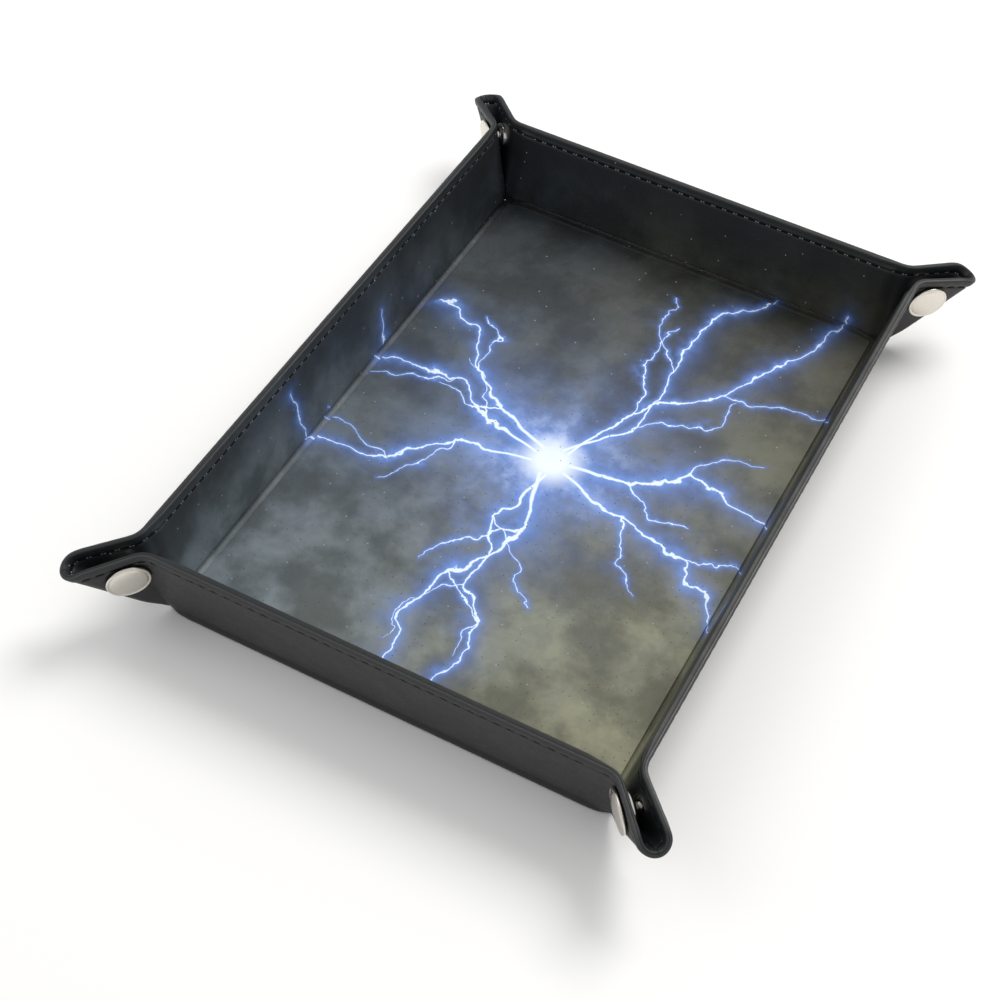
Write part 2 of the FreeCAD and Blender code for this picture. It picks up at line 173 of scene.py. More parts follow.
class Wall:
    """One wall and its half of the ears at both ends."""

    def __init__(self, name):
        fold = JOINTS[f"{name}_wall_fold"]
        self.name = name
        self.body = fold["child"]
        self.axis = np.array(fold["axis"], float)
        self.pivot = np.array(fold["pos_m"], float)
        self.turn = opening(fold["name"])
        self.outward = np.cross(self.axis, (0, 0, 1))
        self.endward = np.abs(self.axis)
        self.half = HALF_LENGTH if abs(self.axis[1]) > 0.5 else HALF_WIDTH
        self.reach = abs(self.pivot @ self.outward)
        self.corners = {side: Corner(self, side) for side in (-1, 1)}

    def angle_of(self, axis, side):
        """The direction of a crease in the flat sheet, in radians from outward to the end."""
        direction = axis * np.sign(axis @ self.outward)
        return math.atan2(direction @ self.endward * side, direction @ self.outward)

    def flat(self, along, out, level):
        """Places in the sheet opened flat."""
        along, out, level = np.broadcast_arrays(along, out, level)
        return (along[..., None] * self.endward + (self.reach + out)[..., None] * self.outward
                + level[..., None] * np.array((0, 0, 1.0)))

    def stand(self, along, out, level):
        """The same places in the standing tray."""
        along, out, level = np.broadcast_arrays(along, out, level)
        side = np.where(along < 0, -1.0, 1.0)
        past = np.abs(along) - self.half
        angle = np.arctan2(past, out)
        axes = np.array((self.outward, self.endward, (0, 0, 1.0)))
        mirror = np.stack((np.ones_like(side), side, np.ones_like(side)), -1)
        direction = ear_vector(EAR_DIRECTIONS, angle) * mirror @ axes
        normal = ear_vector(EAR_NORMALS, angle) * mirror @ axes
        ear = (self.flat(side * self.half, 0.0, BOND) + np.hypot(past, out)[..., None] * direction
               + (level - BOND)[..., None] * normal)
        bends = (angle > EAR_ANGLES[0]) & (out > 0)
        points = np.where(bends[..., None], ear, self.flat(along, out, level))
        narrow = np.clip(-past / FOLD_EASE, FOLD_SHARPEST, 1)
        folded = smooth((out / narrow + FOLD_START) / (FOLD_START + FOLD_END))
        share = np.where(past > 0, 1.0, folded)
        return spin(points, self.pivot, self.axis, -self.turn * share)

    def leg_frame(self, side, points, lay_flat=False):
        """Places of the flat sheet carried rigidly with an ear leg, or the leg's places laid flat."""
        corner = self.corners[side]
        turns = [(corner.apex, corner.leg_axis, -corner.leg_turn), (self.pivot, self.axis, -self.turn)]
        for pivot, axis, angle in reversed(turns) if lay_flat else turns:
            points = spin(points, pivot, axis, -angle if lay_flat else angle)
        return points

    def seam_pitch(self):
        """The stitch pitch, evened out so that the corners match."""
        radius = CORNER_ROUND - STITCH_INSET
        off = rim_reach(EAR_END, STITCH_INSET) * math.sin(math.pi / 4 - EAR_END)
        total = self.half + SLOPE - CORNER_ROUND + radius * (math.pi / 4 - math.asin(off / radius))
        return total / round(total / STITCH_PITCH)


WALLS = {name: Wall(name) for name in WALL_NAMES}
EAR = WALLS["left"].corners[1]      # all the corners have the same creases


# An ear is a cone about its floor corner: the sheet bends along straight lines through that corner.
# Its shape is worked out once, in parts outward, endward and up of the flat sheet.

def ear_curvature(angles, tip_start, tip_turn):
    """How sharply the sheet bends at each direction from the floor corner."""
    share = (angles - EAR.leg_angle + LEG_ZONE) / (2 * LEG_ZONE)
    leg = np.where((share > 0) & (share < 1), 6 * share * (1 - share), 0) / (2 * LEG_ZONE)
    tip = smooth((angles - tip_start) / TIP_ONSET)
    area = np.sum((tip[1:] + tip[:-1]) / 2 * np.diff(angles))
    return tip_turn * tip / area - EAR.leg_turn * leg


def roll_out(angles, curvature):
    """Follows the bends of the sheet: its direction and its normal at each angle."""
    frames = [np.array(Matrix.Rotation(angles[0], 3, "Z"))]
    for stride, bend in zip(np.diff(angles), (curvature[1:] + curvature[:-1]) / 2):
        turn = Vector((bend, 0, 1)) * stride
        frames.append(frames[-1] @ np.array(Matrix.Rotation(turn.length, 3, turn)))
    frames = np.array(frames)
    return frames[:, :, 0], frames[:, :, 2]


def solve_ear():
    """The ear whose end lies in the corner's diagonal plane and meets it squarely."""
    angles = np.linspace(EAR.leg_angle - 2 * LEG_ZONE, EAR_END, 500)
    fold = WALLS["left"].turn
    across = np.array((math.cos(fold), -1, -math.sin(fold)))

    def miss(guess):
        directions, normals = roll_out(angles, ear_curvature(angles, *guess))
        return np.array((directions[-1] @ across - EAR_GAP, normals[-1] @ across))

    guess = np.array((EAR.tip_angle - TIP_ONSET, EAR.tip_turn))
    nudge = 1e-4
    for _ in range(NEWTON_ROUNDS):
        here = miss(guess)
        slopes = [(miss(guess + nudge * unit) - here) / nudge for unit in np.eye(2)]
        guess = guess - np.linalg.solve(np.array(slopes).T, here)
    return angles, *roll_out(angles, ear_curvature(angles, *guess)), guess[0]


def ear_vector(table, angle):
    """The table's vectors at these angles."""
    return np.stack([np.interp(angle, EAR_ANGLES, column) for column in table.T], -1)


EAR_ANGLES, EAR_DIRECTIONS, EAR_NORMALS, TIP_START = solve_ear()
LEAN = math.pi / 2 - WALLS["left"].turn
SLOPE = (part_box("left_wall_cover")[1].z - BOND) / math.cos(LEAN)


def rim_reach(angle, inset):
    """Floor corner to the sheet's edge, in a direction of the flat sheet, less an inset."""
    centre = SLOPE - CORNER_ROUND
    straight = (SLOPE - inset) / np.cos(angle)
    spread = math.sqrt(2) * centre
    off = math.pi / 4 - angle
    radius = CORNER_ROUND - inset
    bend = spread * np.cos(off) + np.sqrt(np.maximum(radius ** 2 - (spread * np.sin(off)) ** 2, 0))
    return np.where(np.tan(angle) * (SLOPE - inset) <= centre, straight, bend)


def seam_place(wall, travel, across):
    """Along and out of a place beside the stitch line, by the travel from the wall's middle."""
    centre = SLOPE - CORNER_ROUND
    turn = np.maximum(travel - wall.half - centre, 0) / (CORNER_ROUND - STITCH_INSET)
    radius = CORNER_ROUND - STITCH_INSET + across
    return np.minimum(travel, wall.half + centre) + radius * np.sin(turn), centre + radius * np.cos(turn)


def seam_travel(wall, along, out):
    """The travel of the stitch line abreast of a place."""
    centre = SLOPE - CORNER_ROUND
    beyond = np.maximum(np.abs(along) - wall.half - centre, 0)
    turn = np.arctan2(beyond, np.maximum(out - centre, 0.01 * MM))
    return np.minimum(np.abs(along), wall.half + centre) + turn * (CORNER_ROUND - STITCH_INSET)


# ---------------------------------------------------------------- layers of the sheet

RIM_ROWS = np.array([6, 5.4, 4.8, 4.4, 4.1, 3.9, 3.7, 3.5, 3.3, 3.1, 2.9, 2.6, 2.2, 1.7, 1.2, 0.8,
                     0.5, 0.36, 0.24, 0.14, 0.06, 0.015, 0]) * MM
WALL_ROWS = np.concatenate((np.arange(-3, 5.3, 0.35), np.linspace(5.9, 28.6, 12))) * MM


def rounding(inset, radius):
    """How far a rounded edge falls back at a distance from the sheet's edge."""
    return radius - np.sqrt(radius ** 2 - np.clip(radius - inset, 0, radius) ** 2)


def rim_swell(wall, along, out, inset):
    """The padded band outside the stitching, and the dip that each stitch pulls."""
    phase = 2 * math.pi * seam_travel(wall, along, out) / wall.seam_pitch()
    band = np.clip(1 - ((inset - BAND_INSET) / BAND_WIDTH) ** 2, 0, 1) * (1 + 0.16 * np.cos(phase))
    dip = np.exp(-((inset - STITCH_INSET) / SEAM_WIDTH) ** 2) * (1 - 0.25 * np.cos(phase))
    return BAND_HEIGHT * band - SEAM_DEPTH * dip


def board_rise(wall, along, out):
    """0 beside the wall's board and 1 over it."""
    past = np.abs(along) - wall.half
    low = smooth((out - BOARD_MARGIN + BOARD_RAMP) / BOARD_RAMP)
    high = smooth((SLOPE - BOARD_MARGIN + BOARD_RAMP - out) / BOARD_RAMP)
    end = smooth((-past - BOARD_END + 3 * BOARD_RAMP) / (4 * BOARD_RAMP))
    return low * high * end


def fold_shape(out):
    """The pressed lines either side of a fold, with a raised ridge between them."""
    lines = np.exp(-((np.abs(out) - CREASE_OFFSET) / CREASE_WIDTH) ** 2)
    return RIDGE_HEIGHT * np.exp(-(out / RIDGE_WIDTH) ** 2) - CREASE_DEPTH * lines


def levels(wall, layer, along, out, inset):
    """Lower and upper level of a layer, before the taper at the floor corner."""
    swell = rim_swell(wall, along, out, inset)
    past = np.abs(along) - wall.half
    near_rim = smooth((RIM_PAD_INSET - inset) / RIM_PAD_RAMP)
    if layer == "cover":
        return -swell + rounding(inset, EDGE_ROUND), BOND - BOND_GAP - rounding(inset, INNER_ROUND)
    rise = board_rise(wall, along, out)
    at_wall = smooth(-past / END_FADE)
    rim_pad = RIM_PAD * near_rim * at_wall * (1 - rise)
    low = BOND + BOND_GAP + BOARD * rise + rounding(inset, INNER_ROUND)
    high = LAMINATE + BOARD * rise + rim_pad + swell + fold_shape(out) * at_wall
    return low, high - rounding(inset, EDGE_ROUND)


def taper(wall, along, out):
    """Thins the layers towards the floor corner, where all the creases meet."""
    past = np.abs(along) - wall.half
    angle = np.degrees(np.arctan2(past, out))
    radius = np.hypot(past, out)
    width = CORNER_THIN + EAR_THIN * smooth((angle + 3.5) / 14)
    return smooth(radius / width)


def lift(wall, along, out, level):
    """Places of the standing tray, with the taper."""
    scaled = BOND + (level - BOND) * taper(wall, along, out)
    return wall.stand(along, out, scaled)


def new_mesh(name, vertices, faces, material, maps=None, floats=None):
    """An object from plain lists, smooth shaded, with its normals outward."""
    mesh = bpy.data.meshes.new(name)
    mesh.from_pydata([tuple(vertex) for vertex in vertices], [], faces)
    if maps is not None:
        layer = mesh.uv_layers.new(name="flat")
        corner_vertices = np.zeros(len(mesh.loops), int)
        mesh.loops.foreach_get("vertex_index", corner_vertices)
        layer.data.foreach_set("uv", np.asarray(maps)[corner_vertices].ravel())
    for key, values in (floats or {}).items():
        attribute = mesh.attributes.new(key, "FLOAT", "POINT")
        attribute.data.foreach_set("value", np.asarray(values, np.float32))
    build = bmesh.new()
    build.from_mesh(mesh)
    bmesh.ops.recalc_face_normals(build, faces=build.faces)
    build.to_mesh(mesh)
    build.free()
    mesh.shade_smooth()
    mesh.materials.append(material)
    thing = bpy.data.objects.new(name, mesh)
    bpy.context.scene.collection.objects.link(thing)
    return thing


UV_SPAN = 0.36      # metres of flat sheet across the whole map


def shell(name, low, high, flat, edge, material):
    """A closed skin between two grids of points."""
    rows, columns = low.shape[:2]
    count = rows * columns
    index = np.arange(count).reshape(rows, columns)
    faces = []
    for offset in (0, count):
        a, b = index[:-1, :-1] + offset, index[1:, :-1] + offset
        c, d = index[1:, 1:] + offset, index[:-1, 1:] + offset
        faces.append(np.stack((a, b, c, d), -1).reshape(-1, 4))
    rim = np.concatenate((index[0, :-1], index[:-1, -1], index[-1, :0:-1], index[:0:-1, 0]))
    ring = np.roll(rim, -1)
    faces.append(np.stack((rim, ring, ring + count, rim + count), -1))
    vertices = np.concatenate((low.reshape(-1, 3), high.reshape(-1, 3)))
    maps = np.tile(flat[..., :2].reshape(-1, 2), (2, 1)) / UV_SPAN + 0.5
    edges = np.tile(edge.ravel(), 2)
    piece = new_mesh(name, vertices, np.concatenate(faces).tolist(), material, maps, {"edge": edges})
    mesh = piece.data
    pairs = np.zeros(2 * len(mesh.edges), int)
    mesh.edges.foreach_get("vertices", pairs)
    pairs = pairs.reshape(-1, 2) % count
    sharp = np.zeros(len(pairs), bool)
    for cut in (index[0], index[:, 0], index[:, -1]):       # the ends, where the next piece carries on
        sharp |= np.isin(pairs, cut).all(1)
    mesh.attributes.new("sharp_edge", "BOOLEAN", "EDGE").data.foreach_set("value", sharp)
    return piece


def skin_piece(name, wall, layer, along, out, inset, material):
    """One layer of the sheet over a grid of places."""
    low_level, high_level = levels(wall, layer, along, out, inset)
    low = lift(wall, along, out, low_level)
    high = lift(wall, along, out, high_level)
    edge = smooth(1 - (inset - 0.1 * MM) / (0.4 * MM))
    return shell(name, low, high, wall.flat(along, out, 0 * out), edge, material)


def wall_end(wall, out):
    """Where the wall's piece stops and the ear leg's piece starts."""
    start = EAR.leg_angle - LEG_ZONE
    return np.where(out < 0, wall.half + out, wall.half + out * math.tan(start))


def wall_grid(wall):
    """The places of a wall's piece, from the floor's edge to the rim."""
    rows = np.concatenate((WALL_ROWS, SLOPE - RIM_ROWS[RIM_ROWS < SLOPE - WALL_ROWS[-1] - 0.1 * MM]))
    rows = np.unique(rows)
    ends = 1 - np.array([0, 1.2, 2.6, 4, 5.4, 7, 9, 11.5, 14.5]) * MM / wall.half
    middle = np.linspace(-ends[-1], ends[-1], int(2 * wall.half / (0.95 * MM)))
    columns = np.concatenate((-ends[:-1], middle, ends[:-1][::-1]))
    out, share = np.meshgrid(rows, columns, indexing="ij")
    return share * wall_end(wall, out), out, np.maximum(SLOPE - out, 0)


def ear_grid(wall, side, start, end, steps):
    """The places of an ear piece, between two directions from the floor corner."""
    angles = np.linspace(start, end, steps)
    inner = WALL_ROWS[WALL_ROWS > 0.3 * MM] / (SLOPE - RIM_ROWS[0])
    inner = np.concatenate(([0.012], inner[inner < 0.97]))
    inset, angle = np.meshgrid(RIM_ROWS, angles, indexing="ij")
    reach = rim_reach(angle, inset)
    deep = inner[:, None] * rim_reach(angles, RIM_ROWS[0])[None]
    radius = np.concatenate((deep, reach))
    angle = np.broadcast_to(angles, radius.shape)
    far = np.full(deep.shape, 1.0)
    inset = np.concatenate((far, inset))
    return side * (wall.half + radius * np.sin(angle)), radius * np.cos(angle), inset


# ---------------------------------------------------------------- materials

def new_material(name):
    """A material with a fresh Principled shader; returns the material, its tree and the shader."""
    material = bpy.data.materials.new(name)
    material.use_nodes = True
    tree = material.node_tree
    return material, tree, tree.nodes["Principled BSDF"]


def node(tree, kind, values=None, **settings):
    """A node with settings and input values; a value may be a socket to link."""
    made = tree.nodes.new(kind)
    for key, value in settings.items():
        setattr(made, key, value)
    for key, value in (values or {}).items():
        if isinstance(value, bpy.types.NodeSocket):
            tree.links.new(value, made.inputs[key])
        else:
            made.inputs[key].default_value = value
    return made


def arithmetic(tree, operation, *values):
    """The result of a Math node."""
    return node(tree, "ShaderNodeMath", dict(enumerate(values)), operation=operation).outputs[0]


def vector(tree, operation, *values):
    """The result of a Vector Math node that gives a vector."""
    return node(tree, "ShaderNodeVectorMath", dict(enumerate(values)), operation=operation).outputs[0]


def measure(tree, operation, *values):
    """The result of a Vector Math node that gives a number."""
    return node(tree, "ShaderNodeVectorMath", dict(enumerate(values)), operation=operation).outputs["Value"]


def step(tree, value, start, end, low=0.0, high=1.0):
    """A smooth step from low at start to high at end."""
    values = {"Value": value, "From Min": start, "From Max": end, "To Min": low, "To Max": high}
    return node(tree, "ShaderNodeMapRange", values, interpolation_type="SMOOTHSTEP").outputs[0]


def mix(tree, factor, low, high, mode="MIX"):
    """Two colours mixed; a colour is a triple or a socket."""
    low, high = ((*c, 1) if isinstance(c, tuple) else c for c in (low, high))
    return node(tree, "ShaderNodeMix", {0: factor, 6: low, 7: high}, data_type="RGBA",
                blend_type=mode).outputs[2]


def noise(tree, place, scale, detail=2.0, rough=0.5, kind="3D"):
    """A noise texture."""
    values = {"Vector": place, "Scale": scale, "Detail": detail, "Roughness": rough}
    return node(tree, "ShaderNodeTexNoise", values, noise_dimensions=kind)


def bump(tree, shader, height, distance, strength=1.0, under=None):
    """Joins a height to the shader's normal; returns the normal for another bump on top."""
    values = {"Height": height, "Distance": distance, "Strength": strength}
    if under is not None:
        values["Normal"] = under
    normal = node(tree, "ShaderNodeBump", values).outputs[0]
    tree.links.new(normal, shader.inputs["Normal"])
    return normal


def sheet_place(tree):
    """The place in the flat sheet, in millimetres from the middle of the floor."""
    maps = node(tree, "ShaderNodeUVMap", uv_map="flat").outputs[0]
    span = UV_SPAN / MM
    return vector(tree, "MULTIPLY_ADD", maps, (span, span, 0), (-span / 2, -span / 2, 0))


def edge_share(tree):
    """1 on the cut edge of the sheet."""
    return node(tree, "ShaderNodeAttribute", attribute_name="edge").outputs["Fac"]


def leather_grain(tree, shader, place, depth):
    """The fine pebbled grain of coated leather, over slow unevenness of the backing."""
    wander = noise(tree, place, 0.9, 3.0).outputs["Color"]
    pebbles = node(tree, "ShaderNodeTexVoronoi", {"Vector": vector(tree, "ADD", place, wander), "Scale": 1.15,
                                                  "Smoothness": 0.7}, feature="SMOOTH_F1").outputs["Distance"]
    pores = noise(tree, place, 5.5, 2.0, 0.6).outputs["Fac"]
    slow = noise(tree, place, 0.09, 3.0, 0.55).outputs["Fac"]
    under = bump(tree, shader, slow, 0.5 * MM, 0.55)
    under = bump(tree, shader, pebbles, depth, 1.0, under)
    bump(tree, shader, pores, depth * 0.4, 1.0, under)
    return pebbles, pores, slow


def cover_leather():
    """Black coated leather, with sheen that varies a little and edges painted paler as a highlight."""
    material, tree, shader = new_material("cover_leather")
    place = sheet_place(tree)
    pebbles, pores, slow = leather_grain(tree, shader, place, 0.05 * MM)
    tone = step(tree, slow, 0.3, 0.7)
    base = mix(tree, tone, (0.0062, 0.0064, 0.0072), (0.0105, 0.0105, 0.0115))
    # painted highlight: the cover's cut edge is made paler, broken up by the pores
    edge_paint_and_highlight = arithmetic(tree, "MULTIPLY", edge_share(tree), step(tree, pores, 0.35, 0.7, 0.25, 1.0))
    base = mix(tree, edge_paint_and_highlight, base, (0.034, 0.035, 0.037))
    tree.links.new(base, shader.inputs["Base Color"])
    rough = arithmetic(tree, "MULTIPLY_ADD", tone, 0.07, 0.38)
    rough = arithmetic(tree, "MULTIPLY_ADD", pebbles, 0.12, rough)
    tree.links.new(rough, shader.inputs["Roughness"])
    shader.inputs["Specular IOR Level"].default_value = 0.5
    return material


# The printed picture, with painted shade mixed in: a plain storm with a glow in the middle of the floor, laid
# out by formula.
# Places are in millimetres on the flat sheet.
CORE_RADIUS = 12.0
WARP_AMPLITUDE = 17.0
BOLT_COUNT = 9
BOLT_PARTS = 4
LEFT_TONE = (0.090, 0.110, 0.120)
RIGHT_TONE = (0.145, 0.145, 0.092)
CORE_TONE = (0.82, 0.90, 1.0)
DARK_PRINT_AND_SHADE_TONE = (0.013, 0.015, 0.017)       # the ears and the top of the walls, partly the print's dark border and partly painted shade


def bolt_group():
    """Distance from a straight stretch of lightning, over its strength at the nearest point."""
    group = bpy.data.node_groups.new("bolt", "ShaderNodeTree")
    for name, kind in (("Place", "Vector"), ("From", "Vector"), ("To", "Vector"), ("Strong", "Float"),
                       ("Weak", "Float")):
        group.interface.new_socket(name, in_out="INPUT", socket_type=f"NodeSocket{kind}")
    group.interface.new_socket("Gap", in_out="OUTPUT", socket_type="NodeSocketFloat")
    inlet = group.nodes.new("NodeGroupInput").outputs
    outlet = group.nodes.new("NodeGroupOutput")
    arm = vector(group, "SUBTRACT", inlet["Place"], inlet["From"])
    span = vector(group, "SUBTRACT", inlet["To"], inlet["From"])
    share = arithmetic(group, "DIVIDE", measure(group, "DOT_PRODUCT", arm, span),
                       measure(group, "DOT_PRODUCT", span, span))
    share = node(group, "ShaderNodeClamp", {"Value": share}).outputs[0]
    nearest = node(group, "ShaderNodeVectorMath", {0: span, "Scale": share}, operation="SCALE").outputs[0]
    gap = measure(group, "DISTANCE", arm, nearest)
    strength = node(group, "ShaderNodeMix", {0: share, 2: inlet["Strong"], 3: inlet["Weak"]}).outputs[0]
    group.links.new(arithmetic(group, "DIVIDE", gap, strength), outlet.inputs[0])
    return group


def bolt_stretches():
    """The straight stretches of every bolt and of its branches, with the strength at both ends."""
    stretches = []
    for number in range(BOLT_COUNT):
        heading = 2 * math.pi * (number + 0.25 + 0.3 * math.sin(2.4 * number)) / BOLT_COUNT
        arm = np.array((math.cos(heading), math.sin(heading)))
        reach = (1.2 + 0.2 * math.sin(1.7 * number)) * math.hypot(*(arm * (HALF_WIDTH, HALF_LENGTH))) / MM
        strength = 0.82 + 0.18 * math.cos(2.1 * number)
        spot = 0.6 * CORE_RADIUS * arm
        for part in range(BOLT_PARTS):
            swing = math.radians(24) * math.sin(2.4 * number + 2.1 * part)
            stride = (reach - CORE_RADIUS) / BOLT_PARTS
            ahead = spot + stride * np.array((math.cos(heading + swing), math.sin(heading + swing)))
            near = strength * (1 - 0.6 * part / BOLT_PARTS)
            far = strength * (1 - 0.6 * (part + 1) / BOLT_PARTS)
            stretches.append((spot, ahead, near, far))
            if part in (1, 2):
                turn = heading + math.radians(48) * (-1) ** (number + part)
                for length in (0.75, 0.6):
                    tip = spot + length * stride * np.array((math.cos(turn), math.sin(turn)))
                    stretches.append((spot, tip, 0.62 * near, 0.3 * near))
                    spot, near, turn = tip, 0.62 * near, turn - math.radians(30) * (-1) ** (number + part)
            spot = ahead
    return stretches


def storm_colours(tree, place):
    """Clouds: cool on the left and warm on the right, darker to the back, with billows and wisps; the fall to
    the back is partly the print and partly painted shade, with painted sheen toward the front.
    """
    drift = noise(tree, place, 0.02, 4.0, 0.48, "2D").outputs["Color"]
    torn = vector(tree, "MULTIPLY_ADD", drift, (70, 70, 0), vector(tree, "ADD", place, (-35.0, -35.0, 0.0)))
    parts = node(tree, "ShaderNodeSeparateXYZ", {0: torn}).outputs
    colour = mix(tree, step(tree, parts[0], -80.0, 80.0), LEFT_TONE, RIGHT_TONE)
    # painted shade and sheen, partly the print: the colour is brighter at the front and darker to the back
    depth = step(tree, parts[1], -140.0, 135.0, 1.45, 0.27)
    colour = node(tree, "ShaderNodeVectorMath", {0: colour, "Scale": depth}, operation="SCALE").outputs[0]
    billow = noise(tree, place, 0.034, 6.0, 0.56, "2D").outputs["Fac"]
    shade = mix(tree, step(tree, billow, 0.34, 0.66), (0.5, 0.5, 0.5), (1.4, 1.4, 1.45))
    colour = mix(tree, 0.8, colour, shade, "MULTIPLY")
    wisp = noise(tree, torn, 0.11, 5.0, 0.62, "2D").outputs["Fac"]
    shade = mix(tree, step(tree, wisp, 0.3, 0.7), (0.75, 0.75, 0.77), (1.2, 1.2, 1.17))
    return mix(tree, 0.4, colour, shade, "MULTIPLY")


def specks(tree, place, scale, size, rarity):
    """Small dots thinly scattered, 1 in a dot."""
    cells = node(tree, "ShaderNodeTexVoronoi", {"Vector": place, "Scale": scale}, voronoi_dimensions="2D")
    chosen = step(tree, node(tree, "ShaderNodeSeparateColor", {0: cells.outputs["Color"]}).outputs[0],
                  rarity, rarity + 0.02)
    dot = step(tree, cells.outputs["Distance"], size, 0.4 * size)
    return arithmetic(tree, "MULTIPLY", chosen, dot)


def lightning(tree, place, away):
    """The gap to the nearest bolt, in millimetres for a bolt of strength 1."""
    group = bolt_group()
    wander = noise(tree, place, 0.05, 5.0, 0.48, "2D").outputs["Color"]
    amount = step(tree, away, 0.7 * CORE_RADIUS, 3 * CORE_RADIUS, 0.0, WARP_AMPLITUDE)
    shift = vector(tree, "SUBTRACT", wander, (0.5, 0.5, 0.5))
    shift = node(tree, "ShaderNodeVectorMath", {0: shift, "Scale": amount}, operation="SCALE").outputs[0]
    level = vector(tree, "MULTIPLY", vector(tree, "ADD", place, shift), (1.0, 1.0, 0.0))
    nearest = None
    for start, end, strong, weak in bolt_stretches():
        bolt = tree.nodes.new("ShaderNodeGroup")
        bolt.node_tree = group
        tree.links.new(level, bolt.inputs["Place"])
        bolt.inputs["From"].default_value = (*start, 0)
        bolt.inputs["To"].default_value = (*end, 0)
        bolt.inputs["Strong"].default_value = strong
        bolt.inputs["Weak"].default_value = weak
        gap = bolt.outputs[0]
        nearest = gap if nearest is None else arithmetic(tree, "SMOOTH_MIN", nearest, gap, 0.5)
    return nearest


def falloff(tree, distance, length, peak):
    """peak at zero distance, falling by a factor of e for each length."""
    decay = arithmetic(tree, "EXPONENT", arithmetic(tree, "DIVIDE", distance, -length))
    return arithmetic(tree, "MULTIPLY", decay, peak)


def printed_picture(tree, place):
    """The colour of the print on the flat sheet, with painted shade darkening the walls, the ears and the
    back.
    """
    away = measure(tree, "LENGTH", vector(tree, "MULTIPLY", place, (1.0, 1.0, 0.0)))
    colour = storm_colours(tree, place)
    folds = (HALF_WIDTH / MM, HALF_LENGTH / MM, 0.0)
    beyond = vector(tree, "SUBTRACT", vector(tree, "ABSOLUTE", place), folds)
    parts = node(tree, "ShaderNodeSeparateXYZ", {0: beyond}).outputs
    # painted shade, partly the print's dark border: the ears and the walls towards their tops are darkened
    ear = step(tree, arithmetic(tree, "MINIMUM", parts[0], parts[1]), -6.0, 6.0)
    colour = mix(tree, ear, colour, DARK_PRINT_AND_SHADE_TONE)
    high = step(tree, arithmetic(tree, "MAXIMUM", parts[0], parts[1]), 5.0, 34.0, 0.0, 0.8)
    colour = mix(tree, high, colour, DARK_PRINT_AND_SHADE_TONE)
    haze = noise(tree, place, 0.05, 5.0, 0.65, "2D").outputs["Fac"]
    cloudy = step(tree, haze, 0.25, 0.62, 0.35, 1.0)
    glow = arithmetic(tree, "MULTIPLY", falloff(tree, away, 17.0, 1.9), cloudy)
    colour = mix(tree, arithmetic(tree, "MINIMUM", glow, 0.9), colour, (0.20, 0.33, 0.74))
    gap = lightning(tree, place, away)
    patch = step(tree, haze, 0.25, 0.6, 0.45, 1.0)
    wide = arithmetic(tree, "MULTIPLY", falloff(tree, gap, 8.0, 0.74), patch)
    colour = mix(tree, wide, colour, (0.085, 0.18, 0.54))
    colour = mix(tree, falloff(tree, gap, 2.1, 0.92), colour, (0.17, 0.35, 0.90))
    colour = mix(tree, step(tree, gap, 0.95, 0.4), colour, (0.78, 0.88, 1.0))
    colour = mix(tree, step(tree, away, 1.3 * CORE_RADIUS, 0.3 * CORE_RADIUS), colour, CORE_TONE)
    mist = arithmetic(tree, "MULTIPLY", falloff(tree, away, 11.0, 1.3), step(tree, haze, 0.47, 0.7))
    colour = mix(tree, arithmetic(tree, "MINIMUM", mist, 0.7), colour, (0.75, 0.85, 1.0))
    colour = mix(tree, specks(tree, place, 0.16, 0.055, 0.86), colour, (0.30, 0.33, 0.36))
    return mix(tree, specks(tree, place, 0.31, 0.09, 0.80), colour, (0.035, 0.035, 0.040))


def lining_print():
    """The printed lining: satin coated cloth with the storm picture, black along the cut edge."""
    material, tree, shader = new_material("lining_print")
    place = sheet_place(tree)
    colour = printed_picture(tree, place)
    pebbles, pores, slow = leather_grain(tree, shader, place, 0.028 * MM)
    shade = mix(tree, step(tree, pores, 0.3, 0.7), (0.80, 0.80, 0.80), (1.16, 1.16, 1.16))
    colour = mix(tree, 0.55, colour, shade, "MULTIPLY")
    edge_paint_and_highlight = arithmetic(tree, "MULTIPLY", edge_share(tree), step(tree, pores, 0.3, 0.65, 0.6, 1.0))
    colour = mix(tree, edge_paint_and_highlight, colour, (0.016, 0.017, 0.018))
    tree.links.new(colour, shader.inputs["Base Color"])
    rough = arithmetic(tree, "MULTIPLY_ADD", step(tree, slow, 0.3, 0.7), 0.08, 0.40)
    rough = arithmetic(tree, "MULTIPLY_ADD", pebbles, 0.10, rough)
    tree.links.new(rough, shader.inputs["Roughness"])
    shader.inputs["Specular IOR Level"].default_value = 0.32
    return material


def nickel(name, base, rough):
    """Plated metal with a satin grain, soft clouding and a few fine scratches."""
    material, tree, shader = new_material(name)
    shader.inputs["Metallic"].default_value = 1.0
    place = node(tree, "ShaderNodeTexCoord").outputs["Object"]
    clouds = noise(tree, place, 420.0, 3.0, 0.6).outputs["Fac"]
    grain = noise(tree, place, 5200.0, 2.0, 0.6).outputs["Fac"]
    strokes = noise(tree, vector(tree, "MULTIPLY", place, (300.0, 5200.0, 900.0)), 1.0, 1.0).outputs["Fac"]
    scratch = step(tree, strokes, 0.69, 0.74)
    tint = mix(tree, step(tree, clouds, 0.3, 0.7), base, tuple(0.97 * part for part in base))
    tree.links.new(mix(tree, arithmetic(tree, "MULTIPLY", scratch, 0.12), tint, (0.95, 0.93, 0.90)),
                   shader.inputs["Base Color"])
    cloudy = arithmetic(tree, "MULTIPLY_ADD", clouds, 0.06, rough - 0.03)
    tree.links.new(arithmetic(tree, "MULTIPLY_ADD", scratch, 0.06, cloudy), shader.inputs["Roughness"])
    under = bump(tree, shader, grain, 0.003 * MM, 0.8)
    bump(tree, shader, scratch, -0.003 * MM, 0.7, under)
    return material


